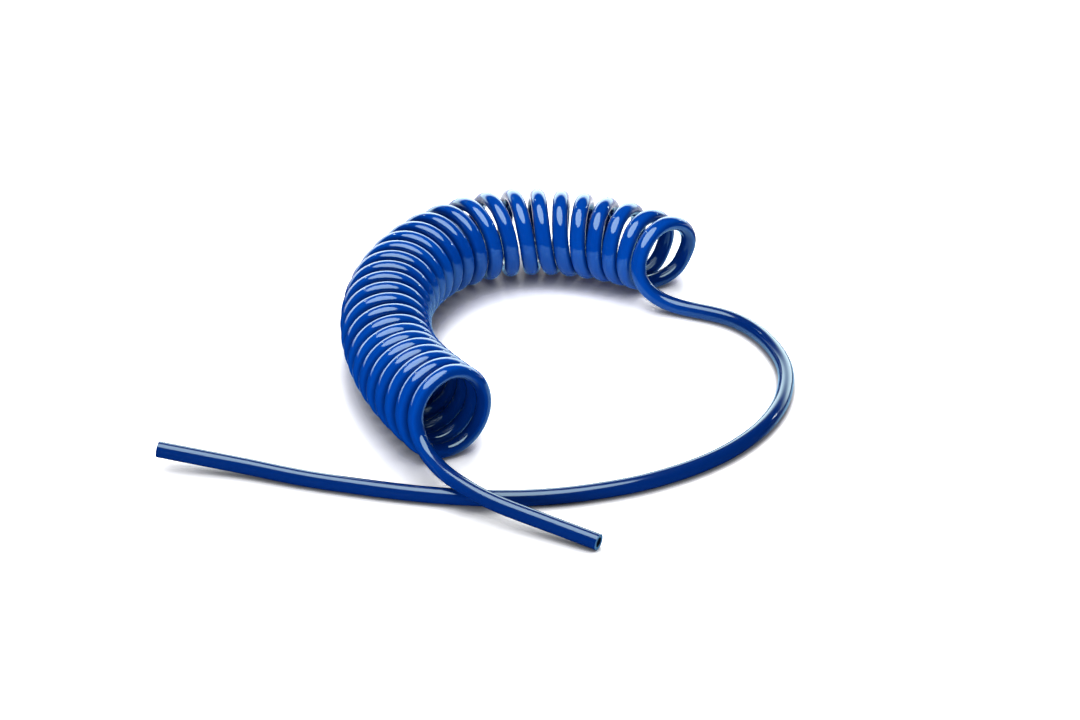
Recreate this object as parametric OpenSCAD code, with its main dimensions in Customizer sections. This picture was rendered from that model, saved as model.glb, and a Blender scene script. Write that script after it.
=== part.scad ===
// Coiled air hose: one length of extruded plastic tube, wound into a springy
// coil that lies in a C on the floor, with a straight tail at each end.
// Millimetres, +Z up, floor at z = 0.

/* [Tube] */
// Outside diameter of the tube
tube_d = 8; // [6:0.5:9]
// Wall of the tube
wall = 1.5; // [0.75:0.25:2]
// Straight run at each cut end that a push-in fitting takes
end_run = 20; // [12:1:24]

/* [Coil] */
// Whole turns of the coil
turns = 28; // [12:1:32]
// Outside diameter of the coil at its near end
near_coil_d = 50; // [42:1:56]
// Outside diameter of the coil along its middle
mid_coil_d = 47; // [40:1:56]
// Outside diameter of the coil at its far end
far_coil_d = 44; // [40:1:56]
// Clear gap between the end turns, at the inside of the bend
end_gap = 0.5; // [0.5:0.1:3]
// Clear gap between the middle turns, at the inside of the bend
mid_gap = 1.5; // [0.5:0.1:4]

/* [Hidden] */

BLUE = [0.0, 0.27, 0.66];
COIL_SIDES = 6;          // sides of the wound tube
TAIL_SIDES = 12;         // sides of the tube along the tails
TURN_STEPS = 8;          // steps to a turn
RUN_OUT_STEPS = 5;       // steps between the coil and a tail
START_ANGLE = 45;        // where the first turn starts on its circle
LAST_PART = 0.25;        // part of a turn past the whole ones, up to the far run-out
WINDING_STEPS = (turns + LAST_PART) * TURN_STEPS;
MIDDLE = [0.25, 0.75];   // shares of the coil between which it keeps its middle diameter
FLAT = tube_d / 10;      // depth of the flats that the turns lie on
BORE_D = tube_d - 2 * wall;
ROUND = 48;              // facets of a true cylinder
CUT = 1;                 // how far a cutter runs past a face
NEXT_TURN = TURN_STEPS - 2;    // steps ahead from which a point can lie beside the next turn
LEAVING_SPANS = 3;             // first spans of the long tail, which only lead away from the coil

// How the coil lies, at even steps from its near end to its far end:
// the direction that its axis takes, and how far its turns lean along it.
HEADINGS = [126, 110, 86, 52, -5, -38];
LEANS = [0, -10, 0, 0, -4, 12];
COIL_START = [-14, -67.3];

// Reach of the run-outs: how far each one keeps the coil's direction, and its tail's
NEAR_REACH = [58, 40];
FAR_REACH = [60, 60];

// Tails from the coil to the cut end: x, y, and the lift off the floor in tube diameters
SHORT_ROUTE = [
    [-13, -106, 1.1], [-2, -117, 0.93], [8, -124, 0.75],
    [19.5, -130, 0.55], [30, -135, 0.37], [38.5, -139.5, 0.25],
];
LONG_ROUTE = [
    [103.5, 80, 0], [122, 72, 0], [131.5, 65, 0], [141, 52.5, 0],
    [147.5, 38, 0], [151.5, 22.5, 0], [152.4, 10, 0], [151.5, -2, 0],
    [148.5, -17.5, 0], [143, -32.5, 0], [135.5, -46.5, 0], [126, -59.5, 0],
    [115, -71, 0], [102.5, -81, 0], [89, -89.5, 0], [75, -96.5, 0],
    [56, -103, 0], [36.5, -107.5, 0], [16.5, -109.5, 0], [-3, -109, 0],
    [-23, -106.5, 0], [-42.5, -102.5, 0], [-62, -97.5, 0], [-81.5, -92, 0],
    [-96.5, -87, 0.04], [-111.5, -82, 0.12], [-127, -78.5, 0.29], [-136, -77, 0.43],
];

// ---- Vectors and smooth curves ----

function unit(v) = v / norm(v);
function square_to(v, axis) = unit(v - (v * axis) * axis);
function reversed(list) = [for (i = [len(list) - 1:-1:0]) list[i]];

// Point or value at u, from 0 to 1, between a and b, where the curve leaves along da and arrives along db
function between(a, da, b, db, u) =
    a + (3 * u ^ 2 - 2 * u ^ 3) * (b - a) + (u ^ 3 - 2 * u ^ 2 + u) * da + (u ^ 3 - u ^ 2) * db;

// Value at s, from 0 to 1, of a smooth curve through evenly spaced values, and its slope at value i
function slope_at(values, i) =
    let (last = len(values) - 1)
    (values[min(i + 1, last)] - values[max(i - 1, 0)]) / (i > 0 && i < last ? 2 : 1);
function smooth_at(values, s) =
    let (x = s * (len(values) - 1), i = max(0, min(floor(x), len(values) - 2)))
    between(values[i], slope_at(values, i), values[i + 1], slope_at(values, i + 1), x - i);

// ---- The winding, by the share s of its length ----

COIL_DIAMETERS = [[0, near_coil_d], [MIDDLE[0], mid_coil_d], [MIDDLE[1], mid_coil_d], [1, far_coil_d]];
function coil_radius(s) = (lookup(s, COIL_DIAMETERS) - tube_d) / 2;
function gap(s) = end_gap + (mid_gap - end_gap) * sin(180 * s) ^ 2;
function heading(s) = smooth_at(HEADINGS, s);
function lean(s) = smooth_at(LEANS, s);
function along(s) = [cos(heading(s)), sin(heading(s)), 0];
function side(s) = [-sin(heading(s)), cos(heading(s)), 0];
function up(s) = cos(lean(s)) * [0, 0, 1] + sin(lean(s)) * along(s);

// Change of direction over one step in radians: it closes the turns at the inside of the bend
function bend(s) =
    let (half = 0.5 / WINDING_STEPS)
    norm([heading(s + half) - heading(s - half), lean(s + half) - lean(s - half)]) * PI / 180;

// Advance of the axis over the step that is centred on s
function advance(s) = ((tube_d + gap(s)) / TURN_STEPS + coil_radius(s) * bend(s)) * along(s);

// The axis on the floor, and the centre line of the tube around it
AXIS = [
    for (
        i = 0, p = [COIL_START.x, COIL_START.y, 0];
        i <= WINDING_STEPS;
        p = p + advance((i + 0.5) / WINDING_STEPS), i = i + 1
    ) p
];
function share(i) = i / WINDING_STEPS;
function angle(i) = START_ANGLE + 360 / TURN_STEPS * i;
function outward(i) = cos(angle(i)) * side(share(i)) + sin(angle(i)) * up(share(i));
function on_winding(i) =
    let (radius = coil_radius(share(i)))
    AXIS[i] + [0, 0, tube_d / 2 - FLAT + radius * cos(lean(share(i)))] + radius * outward(i);
function winding_direction(i) =
    let (s = share(i), around = cos(angle(i)) * up(s) - sin(angle(i)) * side(s))
    unit(2 * PI * coil_radius(s) * around + TURN_STEPS * advance(s));
WINDING = [for (i = [0:WINDING_STEPS]) on_winding(i)];
OUTWARD = [for (i = [0:WINDING_STEPS]) outward(i)];

// ---- Tails and run-outs ----

function standing(route) = [for (p = route) [p.x, p.y, (0.5 + p.z) * tube_d]];
function start_direction(points) = unit(points[1] - points[0]);
function end_direction(points) = unit(points[len(points) - 1] - points[len(points) - 2]);
SHORT_POINTS = standing(SHORT_ROUTE);
LONG_POINTS = standing(LONG_ROUTE);

// The coil runs on straight for one tube diameter past a tail's first point, where the tail takes over
function take_over(points) = points[0] + tube_d * start_direction(points);
function run_out(turn_end, direction, points, reach) = [
    for (i = [1:RUN_OUT_STEPS])
        between(
            turn_end, reach[0] * direction, points[0], reach[1] * start_direction(points),
            i / RUN_OUT_STEPS
        ),
    take_over(points)
];
NEAR_RUN = run_out(WINDING[0], -winding_direction(0), SHORT_POINTS, NEAR_REACH);
FAR_RUN = run_out(WINDING[WINDING_STEPS], winding_direction(WINDING_STEPS), LONG_POINTS, FAR_REACH);
COIL_POINTS = concat(reversed(NEAR_RUN), WINDING, FAR_RUN);
FLOOR_SIDE = 2 * (max([for (p = COIL_POINTS) norm(p)]) + tube_d);    // square floor that the coil lies on

// Direction of the tube at each point: at an end, square to what it meets
function directions(points) =
    let (last = len(points) - 1)
    [
        for (i = [0:last])
            unit(
                (i < last ? unit(points[i + 1] - points[i]) : [0, 0, 0])
                + (i > 0 ? unit(points[i] - points[i - 1]) : [0, 0, 0])
            )
    ];

// Sideways vectors carried along the tube from the first one without a twist
function carried(first, tube_directions) = [
    for (
        i = 0, v = square_to(first, tube_directions[0]);
        i < len(tube_directions);
        i = i + 1, v = square_to(v, tube_directions[min(i, len(tube_directions) - 1)])
    ) v
];
function head(list, count) = [for (i = [0:count - 1]) list[i]];
function tail(list, count) = [for (i = [len(list) - count:len(list) - 1]) list[i]];
RUN_COUNT = RUN_OUT_STEPS + 1;
COIL_DIRECTIONS = directions(COIL_POINTS);
COIL_SIDEWAYS = concat(
    reversed(carried(OUTWARD[0], reversed(head(COIL_DIRECTIONS, RUN_COUNT)))),
    OUTWARD,
    carried(OUTWARD[WINDING_STEPS], tail(COIL_DIRECTIONS, RUN_COUNT))
);

// ---- What the sizes give ----

function total(list, i = 0) = i < len(list) ? list[i] + total(list, i + 1) : 0;
function spans(points) = [for (i = [1:len(points) - 1]) norm(points[i] - points[i - 1])];
ARC_PER_CHORD = (PI / TURN_STEPS) / sin(180 / TURN_STEPS);
COIL_LENGTH = total(spans(WINDING)) * ARC_PER_CHORD + total(spans(NEAR_RUN)) + total(spans(FAR_RUN));
TAIL_LENGTH = total(spans(SHORT_POINTS)) + total(spans(LONG_POINTS)) + 2 * end_run;
SELF_GAP = min([
    for (i = [0:len(COIL_POINTS) - 1])
        for (j = [i + NEXT_TURN:1:len(COIL_POINTS) - 1])
            norm(COIL_POINTS[i] - COIL_POINTS[j])
]) - tube_d;
TAIL_GAP = min([
    for (p = concat(COIL_POINTS, SHORT_POINTS))
        for (i = [LEAVING_SPANS + 1:len(LONG_POINTS) - 1])
            let (
                span = LONG_POINTS[i] - LONG_POINTS[i - 1],
                u = max(0, min(1, (p - LONG_POINTS[i - 1]) * span / (span * span)))
            )
            norm(p - LONG_POINTS[i - 1] - u * span)
]) - tube_d;
echo(least_gap_between_turns_mm = SELF_GAP);
echo(least_gap_from_long_tail_mm = TAIL_GAP);
echo(length_of_tube_mm = COIL_LENGTH + TAIL_LENGTH);

// ---- Solids ----

// A hollow tube swept through points; sideways turns the first corner of each ring
module tube(points, sideways, sides) {
    last = len(points) - 1;
    tube_directions = directions(points);
    corners = [
        for (i = [0:last])
            let (
                u = square_to(sideways[i], tube_directions[i]),
                v = cross(tube_directions[i], u)
            )
            for (r = [tube_d / 2, BORE_D / 2])
                for (k = [0:sides - 1])
                    points[i] + r * (cos(360 * k / sides) * u + sin(360 * k / sides) * v)
    ];
    function outer(i, k) = 2 * sides * i + k % sides;
    function inner(i, k) = outer(i, k) + sides;
    quads = [
        for (k = [0:sides - 1]) each [
            [outer(0, k), outer(0, k + 1), inner(0, k + 1), inner(0, k)],
            [inner(last, k), inner(last, k + 1), outer(last, k + 1), outer(last, k)],
            for (i = [0:last - 1]) each [
                [outer(i, k), outer(i + 1, k), outer(i + 1, k + 1), outer(i, k + 1)],
                [inner(i, k), inner(i, k + 1), inner(i + 1, k + 1), inner(i + 1, k)],
            ],
        ]
    ];
    polyhedron(corners, [for (q = quads) each [[q[0], q[1], q[2]], [q[0], q[2], q[3]]]]);
}

// The free stretch of a tail, from the coil up to its straight run
module free_stretch(points) {
    stretch = concat([take_over(points)], tail(points, len(points) - 1));
    tube(stretch, [for (p = stretch) [0, 0, 1]], TAIL_SIDES);
}

// The straight run of a tail, up to the cut end: a true cylinder with a true bore
module cut_end(points) {
    direction = end_direction(points);
    translate(points[len(points) - 1])
        rotate([0, acos(direction.z), atan2(direction.y, direction.x)])
            difference() {
                cylinder(d = tube_d, h = end_run, $fn = ROUND);
                translate([0, 0, -CUT]) cylinder(d = BORE_D, h = end_run + 2 * CUT, $fn = ROUND);
            }
}

// The wound part, cut flat where its turns lie on the floor
module coil() color(BLUE)
    difference() {
        tube(COIL_POINTS, COIL_SIDEWAYS, COIL_SIDES);
        translate([0, 0, -tube_d / 2]) cube([FLOOR_SIDE, FLOOR_SIDE, tube_d], center = true);
    }

module long_tail() color(BLUE) free_stretch(LONG_POINTS);
module long_end() color(BLUE) cut_end(LONG_POINTS);
module short_tail() color(BLUE) free_stretch(SHORT_POINTS);
module short_end() color(BLUE) cut_end(SHORT_POINTS);

coil();
long_tail();
long_end();
short_tail();
short_end();
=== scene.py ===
"""A coiled air hose: one blue polyurethane tube, wound into a springy coil between two free tails.

The hose is dressed as two tube pieces that meet at the underside of a turn in the still middle
of the coil. Each runs from there to its own cut end, and keeps in a layer how far each point follows its
tail.
"""

import logging
import math
from dataclasses import dataclass
from enum import Enum
from typing import Any

import bmesh
import bpy
import numpy as np
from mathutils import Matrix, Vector


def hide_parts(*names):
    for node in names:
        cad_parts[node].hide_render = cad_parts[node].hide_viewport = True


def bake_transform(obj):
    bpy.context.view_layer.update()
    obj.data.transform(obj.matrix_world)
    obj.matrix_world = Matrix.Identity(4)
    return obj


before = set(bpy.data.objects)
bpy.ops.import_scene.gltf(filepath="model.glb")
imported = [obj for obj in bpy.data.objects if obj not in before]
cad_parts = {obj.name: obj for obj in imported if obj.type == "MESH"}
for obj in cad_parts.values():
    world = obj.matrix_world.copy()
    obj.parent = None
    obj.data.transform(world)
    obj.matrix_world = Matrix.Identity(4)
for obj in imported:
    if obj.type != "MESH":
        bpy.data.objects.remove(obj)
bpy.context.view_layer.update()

Pair = tuple[float, float]
Triple = tuple[float, float, float]    # a point, a direction or a colour

LOG = logging.getLogger("hose")
PLACE_LAYER = "tube_place"    # along, out and aside within the straightened tube, in metres
PULL_LAYER = "pull_share"     # how far a point follows its tail, from 0 to 1
TONE_LAYER = "coil_tone"      # 1 where the tube has the coil's tone, 0 where it has the tails' darker tone, which is painted shade
SHARP_ANGLE = 35.0            # degrees from which an edge stays sharp
WELD = 1e-7                   # metres within which doubled points become one

# Tails from the coil to the cut end: x and y in metres, and the lift off the floor in tube diameters
SHORT_ROUTE = (
    (-0.013, -0.106, 1.1), (-0.002, -0.117, 0.93), (0.008, -0.124, 0.75),
    (0.0195, -0.130, 0.55), (0.030, -0.135, 0.37), (0.0385, -0.1395, 0.25),
)
LONG_ROUTE = (
    (0.1035, 0.080, 0), (0.122, 0.072, 0), (0.1315, 0.065, 0), (0.141, 0.0525, 0),
    (0.1475, 0.038, 0), (0.1515, 0.0225, 0), (0.1524, 0.010, 0), (0.1515, -0.002, 0),
    (0.1485, -0.0175, 0), (0.143, -0.0325, 0), (0.1355, -0.0465, 0),
    (0.126, -0.0595, 0), (0.115, -0.071, 0), (0.1025, -0.081, 0),
    (0.089, -0.0895, 0), (0.075, -0.0965, 0), (0.056, -0.103, 0),
    (0.0365, -0.1075, 0), (0.0165, -0.1095, 0), (-0.003, -0.109, 0),
    (-0.023, -0.1065, 0), (-0.0425, -0.1025, 0), (-0.062, -0.0975, 0),
    (-0.0815, -0.092, 0), (-0.0965, -0.087, 0.04), (-0.1115, -0.082, 0.12),
    (-0.127, -0.0785, 0.29), (-0.136, -0.077, 0.43),
)


class Body(Enum):
    """Names of the bodies of the frame; each hose piece holds one of them."""

    COIL = "coil"
    LONG_SIDE = "long_side"
    SHORT_SIDE = "short_side"


class Surface(Enum):
    """Surfaces of a tube piece, in the order of its material slots."""

    OUTSIDE = 0
    CUT_FACE = 1
    BORE = 2


# ---- Curves ----


def unit(vectors: np.ndarray) -> np.ndarray:
    """Return the vectors scaled to length 1."""
    return vectors / np.linalg.norm(vectors, axis=-1, keepdims=True)


def between(a: Any, da: Any, b: Any, db: Any, u: np.ndarray) -> np.ndarray:
    """Return a smooth curve from a to b.

    Args:
        a: Value or point where the curve starts.
        da: Slope with which it leaves a.
        b: Value or point where it ends.
        db: Slope with which it arrives at b.
        u: Shares of the way, from 0 to 1, shaped to broadcast against the points.

    Returns:
        One value or point for each share.
    """
    return (
        a
        + (3 * u**2 - 2 * u**3) * (b - a)
        + (u**3 - 2 * u**2 + u) * da
        + (u**3 - u**2) * db
    )


def smooth_at(values: tuple[float, ...], shares: np.ndarray) -> np.ndarray:
    """Return a smooth curve through evenly spaced values, read at shares from 0 to 1."""
    knots = np.array(values, float)
    slopes = np.gradient(knots)
    x = shares * (len(knots) - 1)
    i = np.clip(x.astype(int), 0, len(knots) - 2)
    return between(knots[i], slopes[i], knots[i + 1], slopes[i + 1], x - i)


def rise(values: np.ndarray, low: float, high: float) -> np.ndarray:
    """Return a smooth step that rises from 0 at low to 1 at high."""
    share = np.clip((values - low) / (high - low), 0.0, 1.0)
    return share**2 * (3 - 2 * share)


def lengths_along(line: np.ndarray) -> np.ndarray:
    """Return the length of the line up to each of its points."""
    return np.concatenate([[0.0], np.cumsum(np.linalg.norm(np.diff(line, axis=0), axis=1))])


def evenly(line: np.ndarray, step: float) -> np.ndarray:
    """Return the line with its points spread evenly, about one step apart."""
    at = lengths_along(line)
    even = np.linspace(0.0, at[-1], max(2, round(at[-1] / step) + 1))
    return np.stack([np.interp(even, at, line[:, axis]) for axis in range(3)], axis=1)


def through(points: np.ndarray, fine: int = 12) -> np.ndarray:
    """Return a smooth curve through the points, with a number of fine steps to each span."""
    headings = unit(np.gradient(points, axis=0))
    u = np.linspace(0.0, 1.0, fine, endpoint=False)[:, None]
    spans = []
    for i in range(len(points) - 1):
        reach = np.linalg.norm(points[i + 1] - points[i])
        leaving, arriving = reach * headings[i], reach * headings[i + 1]
        spans.append(between(points[i], leaving, points[i + 1], arriving, u))
    return np.concatenate([*spans, points[-1:]])


# ---- The route of the hose ----


@dataclass
class Tube:
    """Sizes of the extruded tube, and how finely its mesh follows them."""

    diameter: float = 0.008
    wall: float = 0.0015
    coiled_thick: float = 0.90     # thickness over diameter where the tube is wound
    coiled_wide: float = 1.05      # width over diameter there
    edge_break: float = 0.00012    # dulled edge of the cut face
    bore_shown: float = 0.045      # depth of bore behind a cut face
    sides: int = 32
    step: float = 0.0024           # distance between rings along the tails

    @property
    def radius(self) -> float:
        """Outside radius."""
        return self.diameter / 2

    @property
    def bore(self) -> float:
        """Radius of the bore."""
        return self.radius - self.wall


@dataclass
class Winding:
    """The wound part of the hose: where its axis runs, and how wide and how close its turns are.

    Headings and leans are in degrees, at even steps from the near end to the far one.
    """

    tube: Tube
    turns: float = 28.25
    turn_steps: int = 56
    start_angle: float = 45.0                           # where the first turn starts on its circle
    near_diameter: float = 0.0512
    middle_diameter: float = 0.047
    far_diameter: float = 0.044
    middle: Pair = (0.25, 0.75)                         # shares between which it keeps the middle one
    end_gap: float = 0.0005
    middle_gap: float = 0.00143
    start: Pair = (-0.0143, -0.0672)
    headings: tuple[float, ...] = (125, 109, 86, 52, -5, -38)
    leans: tuple[float, ...] = (7, -10, 0, 0, -4, 9)
    openings: tuple[float, ...] = (0.0106, 0.0092, 0.0045, 0.0020)    # of the last turns, last first
    opening_way: Pair = (0.894, -0.447)                 # where their backs stand off to
    swings_out: Pair = (0.02, 0.40)                     # parts of a turn over which its back does so
    swings_back: Pair = (0.48, 0.76)                    # and over which it comes back

    @property
    def count(self) -> int:
        """Number of steps from the first point to the last."""
        return round(self.turns * self.turn_steps)

    @property
    def shares(self) -> np.ndarray:
        """Share of the winding's length at each of its points."""
        return np.linspace(0.0, 1.0, self.count + 1)

    def radii(self) -> np.ndarray:
        """Return the radius of the centre line at each point."""
        widths = (self.near_diameter, self.middle_diameter, self.middle_diameter, self.far_diameter)
        outside = np.interp(self.shares, (0.0, *self.middle, 1.0), widths)
        return (outside - self.tube.diameter) / 2

    def line(self) -> tuple[np.ndarray, np.ndarray]:
        """Lay the turns beside each other along the bent axis.

        Returns:
            The points of the centre line, and the outward direction at each.
        """
        s = self.shares
        heading = np.radians(smooth_at(self.headings, s))
        lean = np.radians(smooth_at(self.leans, s))
        flat = np.zeros_like(s)
        along = np.stack([np.cos(heading), np.sin(heading), flat], axis=1)
        side = np.stack([-np.sin(heading), np.cos(heading), flat], axis=1)
        up = np.cos(lean)[:, None] * np.array([0.0, 0.0, 1.0]) + np.sin(lean)[:, None] * along

        angle = np.radians(self.start_angle) + 2 * math.pi * self.turns * s
        outward = np.cos(angle)[:, None] * side + np.sin(angle)[:, None] * up
        line = self._axis(heading, lean, along) + self.radii()[:, None] * outward
        self._open_backs(line)
        return line, outward

    def _axis(self, heading: np.ndarray, lean: np.ndarray, along: np.ndarray) -> np.ndarray:
        """Return the points of the axis, as far apart as the gaps between the turns ask for.

        Args:
            heading: Direction of the axis at each point, in radians.
            lean: How far the turn leans along the axis there, in radians.
            along: The same direction as a vector.

        Returns:
            One point on the axis for each point of the winding.
        """
        radii = self.radii()
        gap = self.end_gap + (self.middle_gap - self.end_gap) * np.sin(math.pi * self.shares) ** 2
        bend = np.hypot(np.gradient(heading, self.shares), np.gradient(lean, self.shares))
        advance = ((self.tube.diameter + gap) * self.turns + radii * bend)[:, None] * along
        steps = (advance[1:] + advance[:-1]) / 2 / self.count
        axis = np.concatenate([np.zeros((1, 3)), np.cumsum(steps, axis=0)])
        axis[:, :2] += self.start
        axis[:, 2] += self.tube.radius * self.tube.coiled_thick + radii * np.cos(lean)
        return axis

    def _open_backs(self, line: np.ndarray) -> None:
        """Move the backs of the last turns outwards, each by its own distance."""
        for turn, opening in enumerate(self.openings):
            to_go = self.turns * (1 - self.shares) - turn
            back = rise(to_go, *self.swings_out) * (1 - rise(to_go, *self.swings_back))
            line[:, :2] += opening * back[:, None] * self.opening_way


@dataclass
class Tail:
    """A free end of the hose, from where it leaves the coil to its straight, cut end."""

    tube: Tube
    route: tuple[Triple, ...]
    reach: Pair                          # how far it keeps the coil's way, and its own
    hang: Triple = (0.0, 0.0, 0.0)       # how the middle of its run-out hangs
    hang_skew: float = 0.85              # below 1 it hangs most before the middle
    run_out_steps: int = 30
    end_run: float = 0.020

    def points(self) -> np.ndarray:
        """Return the route's points at the height of the centre line."""
        points = np.array(self.route, float)
        points[:, 2] = (0.5 + points[:, 2]) * self.tube.diameter
        return points

    def line(self, turn_end: np.ndarray, way: np.ndarray) -> np.ndarray:
        """Run the tail from the coil to its cut end.

        Args:
            turn_end: Last point of the winding.
            way: Direction in which the tube leaves it.

        Returns:
            The points of the centre line after turn_end, evenly spread.
        """
        points = self.points()
        leaving = unit(points[1] - points[0])
        arriving = unit(points[-1] - points[-2])
        u = np.linspace(0.0, 1.0, self.run_out_steps, endpoint=False)[:, None]
        run_out = between(turn_end, self.reach[0] * way, points[0], self.reach[1] * leaving, u)
        run_out += np.sin(math.pi * u**self.hang_skew) ** 2 * self.hang
        cut_end = points[-1] + self.end_run * arriving
        free = through(np.concatenate([points, [cut_end]]))
        return evenly(np.concatenate([run_out, free]), self.tube.step)[1:]


@dataclass
class Route:
    """The whole centre line, from the short tail's cut end through the coil to the long tail's."""

    tube: Tube
    winding: Winding
    short_tail: Tail
    long_tail: Tail
    seam_turn: float = 11.625      # turns before the seam, which lies at the underside of its turn
    still_from: float = 0.36       # shares of the winding between which nothing stretches
    still_to: float = 0.42
    smoothing: int = 5             # passes that round off the joins outside the coil
    smoothed_turn: float = 0.125   # part of the first and last turn that they take in
    oval_fade: float = 0.030       # length of tail over which the tube turns round again
    tone_fade: float = 0.085       # length of tail over which it takes on the tails' darker tone, which is painted shade

    def __post_init__(self) -> None:
        """Work out the line, the sideways directions and what fades along the tails."""
        turns, outward = self.winding.line()
        ways = unit(np.gradient(turns, axis=0))
        short = self.short_tail.line(turns[0], -ways[0])[::-1]
        long = self.long_tail.line(turns[-1], ways[-1])
        self.first = len(short)
        self.last = self.first + len(turns) - 1
        self.line = np.concatenate([short, turns, long])
        self._smooth_outside()
        self.ways = unit(np.gradient(self.line, axis=0))
        self.sideways = self._carry(outward)
        self.oval = self._coiled(self.oval_fade)
        self.tone = self._coiled(self.tone_fade)
        self.seam = self.first + round(self.seam_turn * self.winding.turn_steps)

    def _smooth_outside(self) -> None:
        """Round off the line outside the coil, but not its straight ends."""
        weight = np.ones(len(self.line))
        taken_in = round(self.smoothed_turn * self.winding.turn_steps)
        weight[self.first + taken_in : self.last - taken_in + 1] = 0.0
        ends = round(self.long_tail.end_run / self.tube.step)
        weight[:ends] = weight[-ends:] = 0.0
        for _ in range(self.smoothing):
            pull = (self.line[:-2] + self.line[2:] - 2 * self.line[1:-1]) / 4
            self.line[1:-1] += weight[1:-1, None] * pull

    def _carry(self, outward: np.ndarray) -> np.ndarray:
        """Carry the coil's outward directions along both tails without a twist."""
        sideways = np.zeros_like(self.line)
        sideways[self.first : self.last + 1] = outward
        short = [(i, i + 1) for i in range(self.first - 1, -1, -1)]
        long = [(i, i - 1) for i in range(self.last + 1, len(self.line))]
        for i, nearer in short + long:
            sideways[i] = sideways[nearer]
            sideways[i] -= sideways[i] @ self.ways[i] * self.ways[i]
            sideways[i] = unit(sideways[i])
        across = np.sum(sideways * self.ways, axis=1, keepdims=True) * self.ways
        return unit(sideways - across)

    def _coiled(self, length: float) -> np.ndarray:
        """Return a mask that is 1 in the coil and falls off smoothly over a length of both tails."""
        steps = np.arange(len(self.line))
        outside = np.maximum(self.first - steps, steps - self.last).clip(0)
        faded = np.minimum(outside * self.tube.step / length, 1.0)
        return 0.5 + 0.5 * np.cos(math.pi * faded)

    def pull(self, short: bool) -> np.ndarray:
        """Return how far each point follows the short tail, or else the long one."""
        share = np.interp(np.arange(len(self.line)), (self.first, self.last), (0.0, 1.0))
        if short:
            return np.clip(1 - share / self.still_from, 0.0, 1.0)
        return np.clip((share - self.still_to) / (1 - self.still_to), 0.0, 1.0)


# ---- Shaders ----


class Signal:
    """A socket of a shader tree that Python's operators work on."""

    def __init__(self, bench: "Bench", socket: bpy.types.NodeSocket) -> None:
        """Hold a socket and the bench that its nodes are laid on."""
        self.bench = bench
        self.socket = socket

    def __add__(self, other: Any) -> "Signal":
        """Return self + other."""
        return self.bench.maths("ADD", self, other)

    def __sub__(self, other: Any) -> "Signal":
        """Return self - other."""
        return self.bench.maths("SUBTRACT", self, other)

    def __rsub__(self, other: Any) -> "Signal":
        """Return other - self."""
        return self.bench.maths("SUBTRACT", other, self)

    def __mul__(self, other: Any) -> "Signal":
        """Return self * other."""
        return self.bench.maths("MULTIPLY", self, other)

    def __truediv__(self, other: Any) -> "Signal":
        """Return self / other."""
        return self.bench.maths("DIVIDE", self, other)

    def __gt__(self, other: Any) -> "Signal":
        """Return 1 where self is greater than other, and 0 elsewhere."""
        return self.bench.maths("GREATER_THAN", self, other)

    def __lt__(self, other: Any) -> "Signal":
        """Return 1 where self is less than other, and 0 elsewhere."""
        return self.bench.maths("LESS_THAN", self, other)

    __radd__ = __add__
    __rmul__ = __mul__


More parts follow.
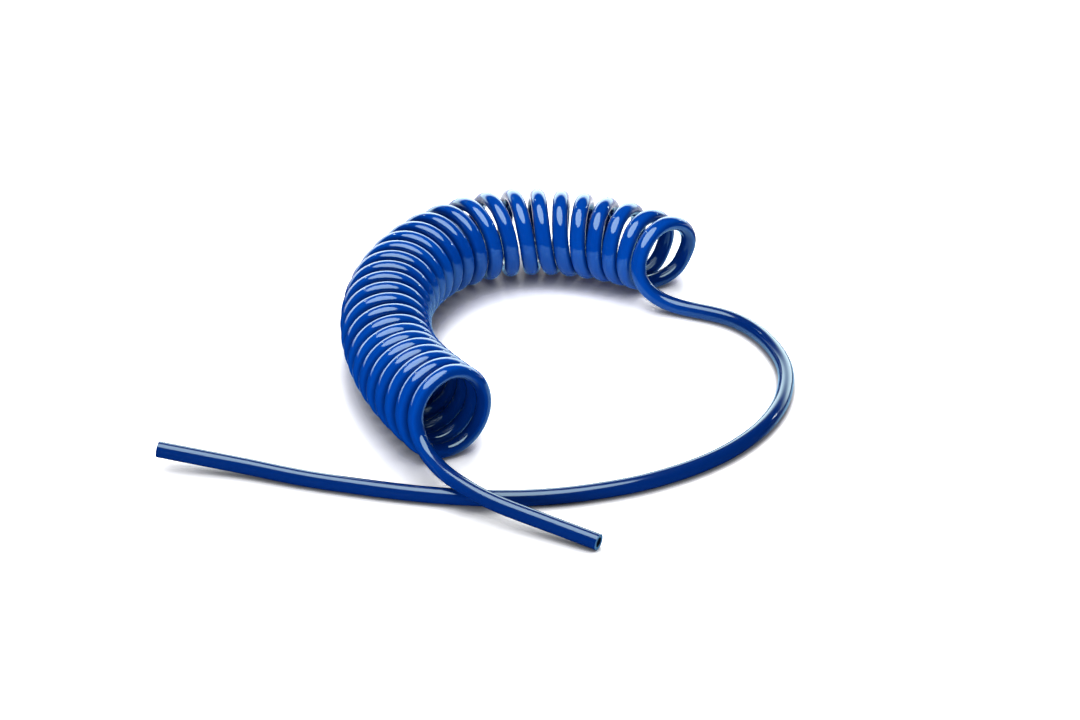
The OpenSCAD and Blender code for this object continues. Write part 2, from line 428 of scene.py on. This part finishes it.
class Bench:
    """Lays out the nodes of one material or world."""

    def __init__(self, owner: bpy.types.Material | bpy.types.World) -> None:
        """Clear the owner's tree."""
        owner.use_nodes = True
        self.tree = owner.node_tree
        self.tree.nodes.clear()

    def node(
        self,
        kind: str,
        settings: dict[str, Any] | None = None,
        sockets: dict[str | int, Any] | None = None,
        output: str | int = 0,
    ) -> Signal:
        """Add a node.

        Args:
            kind: Type of the node.
            settings: Properties, which are set first.
            sockets: Values or links by the input's name or number.
            output: Name or number of the output to hand on.

        Returns:
            The chosen output, or the node's first input where it has no output.
        """
        made = self.tree.nodes.new(kind)
        for name, value in (settings or {}).items():
            setattr(made, name, value)
        for name, value in (sockets or {}).items():
            if isinstance(value, Signal):
                self.tree.links.new(value.socket, made.inputs[name])
            else:
                made.inputs[name].default_value = value
        return Signal(self, made.outputs[output] if len(made.outputs) else made.inputs[0])

    def maths(self, operation: str, *values: Any) -> Signal:
        """Return one Math node's result."""
        return self.node("ShaderNodeMath", {"operation": operation}, dict(enumerate(values)))

    def ramp(self, value: Signal, low: float, high: float, start: float = 0.0, end: float = 1.0) -> Signal:
        """Return a smooth step of value, from start at low to end at high."""
        return self.node(
            "ShaderNodeMapRange",
            {"interpolation_type": "SMOOTHSTEP"},
            {"Value": value, "From Min": low, "From Max": high, "To Min": start, "To Max": end},
        )

    def fall(self, value: Signal, low: float, high: float) -> Signal:
        """Return a smooth step of value, from 1 at low to 0 at high."""
        return self.ramp(value, low, high, 1.0, 0.0)

    def dot(self, vector: Signal, fixed: Vector) -> Signal:
        """Return the dot product of a vector with a fixed one."""
        settings = {"operation": "DOT_PRODUCT"}
        return self.node("ShaderNodeVectorMath", settings, {0: vector, 1: tuple(fixed)}, "Value")

    def part(self, vector: Signal, axis: str) -> Signal:
        """Return the X, Y or Z part of a vector."""
        return self.node("ShaderNodeSeparateXYZ", {}, {0: vector}, axis)

    def attribute(self, name: str, output: str = "Fac") -> Signal:
        """Return a layer of the mesh, as a value or as a vector."""
        return self.node("ShaderNodeAttribute", {"attribute_name": name}, {}, output)

    def coordinate(self, kind: str) -> Signal:
        """Return a texture coordinate."""
        return self.node("ShaderNodeTexCoord", {}, {}, kind)

    def ray(self, kind: str) -> Signal:
        """Return 1 for the rays of a kind, and 0 for others."""
        return self.node("ShaderNodeLightPath", {}, {}, kind)

    def noise(self, vector: Signal, scale: float, detail: float = 2.0) -> Signal:
        """Return a noise value from 0 to 1."""
        return self.node(
            "ShaderNodeTexNoise", {}, {"Vector": vector, "Scale": scale, "Detail": detail}, "Fac"
        )

    def grain(self, vector: Signal, grains: Triple, detail: float = 2.0) -> Signal:
        """Return a noise value from 0 to 1, with a number of grains to a metre each way."""
        scaled = self.node("ShaderNodeVectorMath", {"operation": "MULTIPLY"}, {0: vector, 1: grains})
        return self.noise(scaled, 1.0, detail)

    def mix(self, factor: Any, a: Any, b: Any) -> Signal:
        """Return the colour a, turning into b as factor goes from 0 to 1."""
        settings = {"data_type": "RGBA", "clamp_factor": True}
        return self.node("ShaderNodeMix", settings, {0: factor, 6: a, 7: b}, 2)

    def bump(self, height: Signal) -> Signal:
        """Return the normal of a surface with a relief of this height in metres."""
        return self.node("ShaderNodeBump", {}, {"Strength": 1.0, "Distance": 1.0, "Height": height})

    def surface(self, sockets: dict[str, Any]) -> None:
        """Finish a material with one principled shader."""
        shader = self.node("ShaderNodeBsdfPrincipled", {}, sockets)
        self.node("ShaderNodeOutputMaterial", {}, {"Surface": shader})


def opaque(colour: Triple) -> tuple[float, float, float, float]:
    """Return a colour with full alpha."""
    return (*colour, 1.0)


@dataclass(frozen=True)
class TubeFinish:
    """Glossy polyurethane as it leaves the die: a deep blue with faint draw lines and soft waves.
    Its colour also holds painted shade inside the coil, between the turns and along the tails.

    Grains are counted to a metre along the tube, out of it and aside. Heights and places are in metres.
    """

    name: str = "glossy_blue_polyurethane"
    colour: Triple = (0.0003, 0.062, 0.408)
    deep: Triple = (0.0002, 0.052, 0.369)
    # painted shade: the tails are given a darker blue than the coil, as if less light fell on them
    tail: Triple = (0.0002, 0.019, 0.146)
    painted_turn_shade: Triple = (0.0002, 0.017, 0.138)       # painted shade inside the coil and between the turns
    mirror_tint: Triple = (0.72, 1.0, 1.0)
    speck: Triple = (0.002, 0.006, 0.02)
    roughness: float = 0.050
    tail_roughness: float = 0.13
    scuffed: float = 0.18
    ior: float = 1.5
    batch_grain: Triple = (9.0, 60.0, 60.0)
    line_grain: Triple = (5.0, 1500.0, 1500.0)
    line_tone: float = 0.3                        # share of the draw lines in the tone
    tone_range: Pair = (0.35, 0.65)
    tail_tone: float = 0.1                        # share of the tone that the tails keep
    inner_shade_side: Pair = (-0.0034, -0.0008)         # places out of the middle where the painted shade inside the coil ends
    facing_shade_side: Pair = (0.0022, 0.0041)          # places aside of the middle where the painted shade begins again, on the flanks facing the next turns
    facing_shade_share: float = 0.7                      # and the share of that painted shade there
    dust_grain: float = 130.0
    dust_size: float = 0.045                      # over the distance between grains
    dusty_grain: float = 47.0
    dusty: float = 0.67                           # noise above which there is any dust
    rubbed_grain: float = 85.0
    rubbed_range: Pair = (0.55, 0.75)
    rubbed_even: float = 0.35                     # share of rubbing that leaves no scratches
    scratch_grain: Triple = (900.0, 60.0, 60.0)
    scratched: float = 0.70                       # noise above which there is a scratch
    wave_grain: Triple = (38.0, 90.0, 90.0)
    wave_height: float = 0.000030
    line_height: float = 0.0000016

    def make(self) -> bpy.types.Material:
        """Return the material."""
        material = bpy.data.materials.new(self.name)
        bench = Bench(material)
        place = bench.attribute(PLACE_LAYER, "Vector")
        ground = bench.coordinate("Object")
        coiled = bench.attribute(TONE_LAYER)
        lines = bench.grain(place, self.line_grain)
        wave = bench.grain(place, self.wave_grain, 1.0)
        bench.surface(
            {
                "Base Color": self._dusty(bench, ground, self._body(bench, place, coiled, lines)),
                "Roughness": self._roughness(bench, place, ground, coiled),
                "IOR": self.ior,
                "Specular Tint": opaque(self.mirror_tint),
                "Normal": bench.bump(wave * self.wave_height + lines * self.line_height),
            }
        )
        return material

    def _body(self, bench: Bench, place: Signal, coiled: Signal, lines: Signal) -> Signal:
        """Return the plastic's colour, with painted shade inside the coil, between the turns and along the
        tails.

        Args:
            bench: Bench of the material.
            place: Place within the straightened tube.
            coiled: 1 in the coil and 0 in the tails.
            lines: Noise of the draw lines.

        Returns:
            The colour without dust.
        """
        batch = bench.grain(place, self.batch_grain)
        mixed = batch * (1 - self.line_tone) + lines * self.line_tone
        tone = bench.ramp(mixed, *self.tone_range)
        # Painted shade: darker on the coil's inner side and on the flanks that face the next turns
        inner = bench.fall(bench.part(place, "Y"), *self.inner_shade_side)
        facing = bench.ramp(bench.maths("ABSOLUTE", bench.part(place, "Z")), *self.facing_shade_side)
        wound = bench.mix(tone, opaque(self.deep), opaque(self.colour))
        wound = bench.mix(inner + facing * self.facing_shade_share, wound, opaque(self.painted_turn_shade))
        # Painted shade: the tails take the darker blue, as if less light fell on them
        share = coiled * (1 - self.tail_tone) + tone * self.tail_tone
        return bench.mix(share, opaque(self.tail), wound)

    def _dusty(self, bench: Bench, ground: Signal, body: Signal) -> Signal:
        """Return the body's colour with a few specks of dust on it."""
        sockets = {"Vector": ground, "Scale": self.dust_grain}
        dust = bench.node("ShaderNodeTexVoronoi", {}, sockets, "Distance")
        specks = (dust < self.dust_size) * (bench.noise(ground, self.dusty_grain) > self.dusty)
        return bench.mix(specks, body, opaque(self.speck))

    def _roughness(self, bench: Bench, place: Signal, ground: Signal, coiled: Signal) -> Signal:
        """Return the roughness, which is higher along the tails and where the tube is scuffed."""
        rubbed = bench.ramp(bench.noise(ground, self.rubbed_grain, 4.0), *self.rubbed_range)
        scratches = bench.grain(place, self.scratch_grain) > self.scratched
        worn = rubbed * self.rubbed_even + rubbed * scratches * (1 - self.rubbed_even)
        handled = bench.ramp(coiled, 0.0, 1.0, self.tail_roughness, self.roughness)
        return worn * (self.scuffed - handled) + handled


@dataclass(frozen=True)
class CutFinish:
    """A cut face: paler and duller than the skin, with the fine marks of the cutter."""

    name: str = "cut_polyurethane"
    colour: Triple = (0.077, 0.254, 0.477)
    deep: Triple = (0.038, 0.169, 0.385)
    roughness: float = 0.42
    marked: float = 0.2                           # roughness that the marks add
    mark_grain: Triple = (1.0, 350.0, 5200.0)
    mark_height: float = 0.000012

    def make(self) -> bpy.types.Material:
        """Return the material."""
        material = bpy.data.materials.new(self.name)
        bench = Bench(material)
        marks = bench.grain(bench.attribute(PLACE_LAYER, "Vector"), self.mark_grain)
        bench.surface(
            {
                "Base Color": bench.mix(marks, opaque(self.deep), opaque(self.colour)),
                "Roughness": marks * self.marked + self.roughness,
                "Normal": bench.bump(marks * self.mark_height),
            }
        )
        return material


# Painted shade: the bore is the same plastic, coloured near black for the deep shade inside it
BORE_SHADE = (0.0003, 0.0023, 0.0138)
SHADED_BORE_FINISH = TubeFinish("shaded_bore", BORE_SHADE, BORE_SHADE, BORE_SHADE, BORE_SHADE, tail_roughness=0.35)


# ---- The hose ----


def put_in_scene(name: str, data: bpy.types.ID) -> bpy.types.Object:
    """Make an object of its data and link it to the scene."""
    made = bpy.data.objects.new(name, data)
    bpy.context.scene.collection.objects.link(made)
    return made


@dataclass
class Rings:
    """The rings of a tube piece's closed surface, in order."""

    station: np.ndarray    # number of the route's point that each lies at
    shift: np.ndarray      # how far it is moved on along the tube
    radius: np.ndarray
    surface: np.ndarray    # value of the Surface between it and the next


@dataclass
class HosePiece:
    """One stretch of the hose, from the seam in the coil to a cut end, as a closed hollow tube."""

    name: str
    route: Route
    rides_on: Body
    stands_for: tuple[str, ...]
    length: float
    short: bool

    def stations(self) -> np.ndarray:
        """Return the route's points that the piece runs over, from the seam outwards."""
        if self.short:
            return np.arange(self.route.seam, -1, -1)
        return np.arange(self.route.seam, len(self.route.line))

    def rings(self) -> Rings:
        """Return the rings that run over the outside, the cut face and back up the bore."""
        tube = self.route.tube
        run = self.stations()
        inner = run[::-1][1 : round(tube.bore_shown / tube.step)]
        edge = tube.edge_break
        at = np.concatenate([run[:1], run, run[-1:].repeat(3), inner, inner[-1:]])
        shift = np.zeros(len(at))
        radius = np.full(len(at), tube.radius)
        surface = np.full(len(at), Surface.OUTSIDE.value)
        cut = len(run)    # the last full ring of the outside
        shift[cut] = -edge
        radius[0] = 0.0
        radius[cut + 1 : cut + 4] = (tube.radius - edge, tube.bore + edge, tube.bore)
        shift[cut + 3] = -edge
        radius[cut + 4 :] = tube.bore
        radius[-1] = 0.0
        surface[cut : cut + 3] = Surface.CUT_FACE.value
        surface[cut + 3 :] = Surface.BORE.value
        return Rings(at, shift, radius, surface)

    def mesh(self) -> bpy.types.Mesh:
        """Roll a flat grid up round the route.

        Returns:
            The closed tube, with the place, the pull and the tone of each point as layers.
        """
        route, tube, rings = self.route, self.route.tube, self.rings()
        last = len(rings.station) - 1
        outwards = -1.0 if self.short else 1.0
        along = lengths_along(route.line)
        thick = 1 + (tube.coiled_thick - 1) * route.oval
        wide = 1 + (tube.coiled_wide - 1) * route.oval
        pull = route.pull(self.short)
        across = np.cross(route.ways, route.sideways)

        half = 0.5    # of the flat grid's width and depth
        shape = bmesh.new()
        bmesh.ops.create_grid(shape, x_segments=last, y_segments=tube.sides, size=half)
        place_layer = shape.verts.layers.float_vector.new(PLACE_LAYER)
        pull_layer = shape.verts.layers.float.new(PULL_LAYER)
        tone_layer = shape.verts.layers.float.new(TONE_LAYER)
        for face in shape.faces:
            ring = int((face.calc_center_median().x + half) * last)
            face.material_index = int(rings.surface[ring])
            face.smooth = True
        for vertex in shape.verts:
            ring = round((vertex.co.x + half) * last)
            corner = round((vertex.co.y + half) * tube.sides) % tube.sides
            angle = 2 * math.pi * corner / tube.sides
            out = rings.radius[ring] * math.cos(angle)
            aside = rings.radius[ring] * math.sin(angle)
            i = rings.station[ring]
            vertex.co = (
                route.line[i]
                + rings.shift[ring] * outwards * route.ways[i]
                + out * thick[i] * route.sideways[i]
                + aside * wide[i] * across[i]
            )
            vertex[place_layer] = (along[i], out, aside)
            vertex[pull_layer] = pull[i]
            vertex[tone_layer] = route.tone[i]
        bmesh.ops.remove_doubles(shape, verts=shape.verts, dist=WELD)
        bmesh.ops.recalc_face_normals(shape, faces=shape.faces)
        mesh = bpy.data.meshes.new(self.name)
        shape.to_mesh(mesh)
        shape.free()
        return mesh

    def build(self, materials: list[bpy.types.Material]) -> bpy.types.Object:
        """Model the piece, dress it, hide the CAD parts that it stands for, and bake its placement.

        Args:
            materials: One material for each Surface.

        Returns:
            The finished object.
        """
        mesh = self.mesh()
        for material in materials:
            mesh.materials.append(material)
        mesh.set_sharp_from_angle(angle=math.radians(SHARP_ANGLE))
        piece = put_in_scene(self.name, mesh)
        self._tie(piece)
        return piece

    def _tie(self, piece: bpy.types.Object) -> None:
        line = self.route.line[self.stations()]
        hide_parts(*self.stands_for)
        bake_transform(piece)
        # The share of each point grows along the winding only, and stays the same all along the tail
        shares = np.zeros(len(piece.data.vertices), np.float32)
        piece.data.attributes[PULL_LAYER].data.foreach_get("value", shares)


@dataclass
class Hose:
    """The hose as a whole."""

    route: Route

    @classmethod
    def as_it_lies(cls) -> "Hose":
        """Return the hose with its coil in a C and its long tail passing under its short one."""
        tube = Tube()
        short_tail = Tail(tube, SHORT_ROUTE, reach=(0.058, 0.040), hang=(0.0, 0.0075, -0.0041))
        long_tail = Tail(tube, LONG_ROUTE, reach=(0.060, 0.060), hang=(-0.0010, 0.0, 0.0))
        return cls(Route(tube, Winding(tube), short_tail, long_tail))

    def build(self) -> list[bpy.types.Object]:
        """Build both pieces and return them."""
        materials = [finish.make() for finish in (TubeFinish(), CutFinish(), SHADED_BORE_FINISH)]
        pieces = (
            HosePiece(
                "short_side_hose", self.route, Body.SHORT_SIDE,
                ("coil", "short_tail", "short_end"), length=1.61, short=True,
            ),
            HosePiece(
                "long_side_hose", self.route, Body.LONG_SIDE,
                ("coil", "long_tail", "long_end"), length=2.53, short=False,
            ),
        )
        return [piece.build(materials) for piece in pieces]


# ---- The studio ----


@dataclass
class Softbox:
    """One soft lamp, as an even light or as a bright shape that the gloss mirrors."""

    way: Triple                       # direction in which it hangs, from the hose
    half_angles: Pair                 # half its breadth and half its depth, in degrees
    radiance: float
    squareness: float = 2.2           # of its outline: 2 for an oval, more for a box
    edge: Pair = (0.94, 1.06)         # reaches between which the outline fades out

    def __post_init__(self) -> None:
        """Bring the direction to length 1."""
        self.way = tuple(Vector(self.way).normalized())

    @property
    def half_sizes(self) -> Pair:
        """Half its breadth and half its depth at a distance of 1."""
        return tuple(math.tan(math.radians(angle)) for angle in self.half_angles)

    def hang(self, name: str, target: Vector, distance: float, mirrored: bool = False) -> None:
        """Hang it as a lamp.

        Args:
            name: Name of the lamp.
            target: Point that it faces.
            distance: How far from the target it hangs.
            mirrored: True for an oval that only shows in the gloss, False for plain light.
        """
        light = bpy.data.lights.new(name, "AREA")
        light.shape = "ELLIPSE" if mirrored else "RECTANGLE"
        light.size, light.size_y = (2 * half * distance for half in self.half_sizes)
        filled = math.pi / 4 if mirrored else 1.0
        light.energy = self.radiance * math.pi * light.size * light.size_y * filled
        lamp = put_in_scene(name, light)
        way = Vector(self.way)
        lamp.location = target + way * distance
        lamp.rotation_euler = (-way).to_track_quat("-Z", "Y").to_euler()
        lamp.visible_camera = False
        lamp.visible_glossy = mirrored
        lamp.visible_diffuse = not mirrored

    def outline(self, bench: Bench, direction: Signal) -> Signal:
        """Return 1 in the directions that it fills and 0 elsewhere."""
        way = Vector(self.way)
        breadth = Vector((0.0, 0.0, 1.0)).cross(way).normalized()
        depth = way.cross(breadth)
        ahead = bench.dot(direction, way)
        reach = 0.0
        for axis, half in zip((breadth, depth), self.half_sizes):
            aside = bench.dot(direction, axis) / ahead
            share = bench.maths("ABSOLUTE", aside * (1 / half))
            reach = reach + bench.maths("POWER", share, self.squareness)
        return bench.fall(reach, *self.edge) * (ahead > 0.0)


@dataclass(frozen=True)
class Floor:
    """The pale floor, with a tone of its own for plain light, for the camera and for the gloss."""

    half: float = 15.0
    colour: Triple = (0.80, 0.80, 0.80)           # in plain light
    seen: Triple = (1.85, 1.85, 1.85)             # to the camera
    painted_contact_shadow: Triple = (0.0, 0.0, 0.0)             # painted contact shadow, to the camera, right beneath the hose
    contact_reach: float = 0.019
    contact_samples: int = 16
    contact_range: Pair = (0.3, 0.9)              # openness over which the painted contact shadow fades
    contact_least: float = 0.25                   # share of the open tone that is left in it
    mirrored: Triple = (0.69, 1.23, 1.615)        # in the gloss, near the middle of the hose
    middle: Triple = (0.05, 0.05, 0.0)
    near: Pair = (0.125, 0.137)                   # distances from there over which that tone ends
    slant: Pair = (0.785, 0.81)                   # slants of the mirrored view over which it ends
    dim: Triple = (0.010, 0.014, 0.025)           # in the gloss, further out
    behind: Triple = (1.69, 1.69, 1.85)           # in the gloss, behind the hose
    back_edge: Pair = (0.15, 0.20)                # y over which that tone begins

    def material(self) -> bpy.types.Material:
        """Return the floor's material."""
        material = bpy.data.materials.new("pale_floor")
        bench = Bench(material)
        plain = bench.mix(bench.ray("Is Glossy Ray"), opaque(self.colour), self._in_gloss(bench))
        colour = bench.mix(bench.ray("Is Camera Ray"), plain, self._to_camera(bench))
        shader = bench.node("ShaderNodeBsdfDiffuse", {}, {"Color": colour})
        bench.node("ShaderNodeOutputMaterial", {}, {"Surface": shader})
        return material

    def _in_gloss(self, bench: Bench) -> Signal:
        """Return the tone that the hose's gloss mirrors."""
        place = bench.coordinate("Object")
        settings = {"operation": "DISTANCE"}
        away = bench.node("ShaderNodeVectorMath", settings, {0: place, 1: self.middle}, "Value")
        facing = bench.node("ShaderNodeLayerWeight", {}, {"Blend": 0.5}, "Facing")
        near = bench.fall(away, *self.near) * bench.fall(facing, *self.slant)
        tone = bench.mix(near, opaque(self.dim), opaque(self.mirrored))
        return bench.mix(bench.ramp(bench.part(place, "Y"), *self.back_edge), tone, opaque(self.behind))

    def _to_camera(self, bench: Bench) -> Signal:
        """Return the tone that the camera sees, with a painted contact shadow where the hose nearly
        touches the floor.
        """
        settings = {"samples": self.contact_samples}
        sockets = {"Distance": self.contact_reach}
        # Painted shadow: ambient occlusion darkens the floor's colour close to the hose
        free = bench.node("ShaderNodeAmbientOcclusion", settings, sockets, "AO")
        share = bench.ramp(free, *self.contact_range, self.contact_least, 1.0)
        return bench.mix(share, opaque(self.painted_contact_shadow), opaque(self.seen))

    def lay(self) -> None:
        """Make the floor."""
        shape = bmesh.new()
        bmesh.ops.create_grid(shape, x_segments=1, y_segments=1, size=self.half)
        mesh = bpy.data.meshes.new("floor")
        shape.to_mesh(mesh)
        shape.free()
        mesh.materials.append(self.material())
        floor = put_in_scene("floor", mesh)


@dataclass(frozen=True)
class Room:
    """The room: a pale wall behind and beside the hose, and dimness before it."""

    ambient: Triple = (0.104, 0.107, 0.11)        # off the wall, in plain light
    wall: Triple = (0.78, 0.793, 0.806)           # in plain light
    dim_mirrored: Triple = (0.010, 0.014, 0.025)  # off the wall, in the gloss
    wall_mirrored: Triple = (4.8, 5.8, 5.8)       # in the gloss
    wall_way: Triple = (-0.41, 0.91, 0.0)         # direction in which the wall stands
    wall_sides: Pair = (0.1, 0.45)                # how far towards it the wall begins
    height_way: Triple = (0.0, -0.8, 1.0)         # the wall is highest at the back
    wall_top: Pair = (-0.34, -0.06)               # heights over which it ends
    spot_ways: tuple[Triple, ...] = ((0.80, 0.50, 0.30), (-0.55, 0.55, 0.60))
    spot_half: float = 1.3                        # half a spot's width, in degrees
    spot_mirrored: float = 70.0                   # its radiance, only in the gloss

    def light(self) -> None:
        """Make the world: white to the camera, with its own tones for plain light and the gloss."""
        world = bpy.data.worlds.new("room")
        bpy.context.scene.world = world
        bench = Bench(world)
        direction = bench.coordinate("Generated")
        behind = bench.ramp(bench.dot(direction, Vector(self.wall_way)), *self.wall_sides)
        below = bench.fall(bench.dot(direction, Vector(self.height_way)), *self.wall_top)
        wall = behind * below
        plain = bench.mix(wall, opaque(self.ambient), opaque(self.wall))
        mirrored = bench.mix(wall, opaque(self.dim_mirrored), opaque(self.wall_mirrored))
        for way in self.spot_ways:
            spot = Softbox(way, (self.spot_half, self.spot_half), self.spot_mirrored)
            mirrored = bench.mix(spot.outline(bench, direction), mirrored, opaque((spot.radiance,) * 3))
        colour = bench.mix(bench.ray("Is Glossy Ray"), plain, mirrored)
        colour = bench.mix(bench.ray("Is Camera Ray"), colour, opaque((1.0, 1.0, 1.0)))
        background = bench.node("ShaderNodeBackground", {}, {"Color": colour, "Strength": 1.0})
        bench.node("ShaderNodeOutputWorld", {}, {"Surface": background})


@dataclass
class Studio:
    """Camera, pale floor and soft light."""

    target: Triple = (0.0287, 0.03185, 0.0)
    distance: float = 1.85
    elevation: float = 29.225
    lens: float = 121.26
    sensor: float = 36.0
    lamp_distance: float = 4.0
    shine_distance: float = 0.827

    def place_camera(self) -> None:
        """Make the scene's camera."""
        lens = bpy.data.cameras.new("camera")
        lens.lens = self.lens
        lens.sensor_width = self.sensor
        tilt = math.radians(self.elevation)
        back = Vector((0.0, -math.cos(tilt), math.sin(tilt))) * self.distance
        camera = put_in_scene("camera", lens)
        camera.location = Vector(self.target) + back
        camera.rotation_euler = (math.pi / 2 - tilt, 0.0, 0.0)
        bpy.context.scene.camera = camera

    def hang_lamps(self) -> None:
        """Hang the plain soft lamps, and the one that only shows in the gloss."""
        target = Vector(self.target)
        lamps = {
            "top_softbox": Softbox((-0.10, -0.26, 0.96), (45.0, 27.0), 1.37),
            "back_softbox": Softbox((0.10, 0.60, 0.79), (16.0, 16.0), 6.0),
            "low_fill": Softbox((-0.14, -0.95, 0.14), (32.0, 9.0), 7.0),
        }
        for name, lamp in lamps.items():
            lamp.hang(name, target, self.lamp_distance)
        shine = Softbox((-0.097, -0.157, 0.983), (34.0, 25.0), 8.6)
        shine.hang("shine", target, self.shine_distance, mirrored=True)

    def build(self) -> None:
        """Make everything round the hose."""
        bpy.context.scene.view_settings.view_transform = "Standard"
        Floor().lay()
        self.hang_lamps()
        Room().light()


def main() -> None:
    """Build the hose and its studio, and log the number of faces of each hose piece."""
    logging.basicConfig(level=logging.INFO, format="%(name)s: %(message)s")
    studio = Studio()
    studio.place_camera()
    for piece in Hose.as_it_lies().build():
        LOG.info("%s has %d faces", piece.name, len(piece.data.polygons))
    studio.build()
    bpy.context.view_layer.update()


if __name__ == "__main__":
    main()
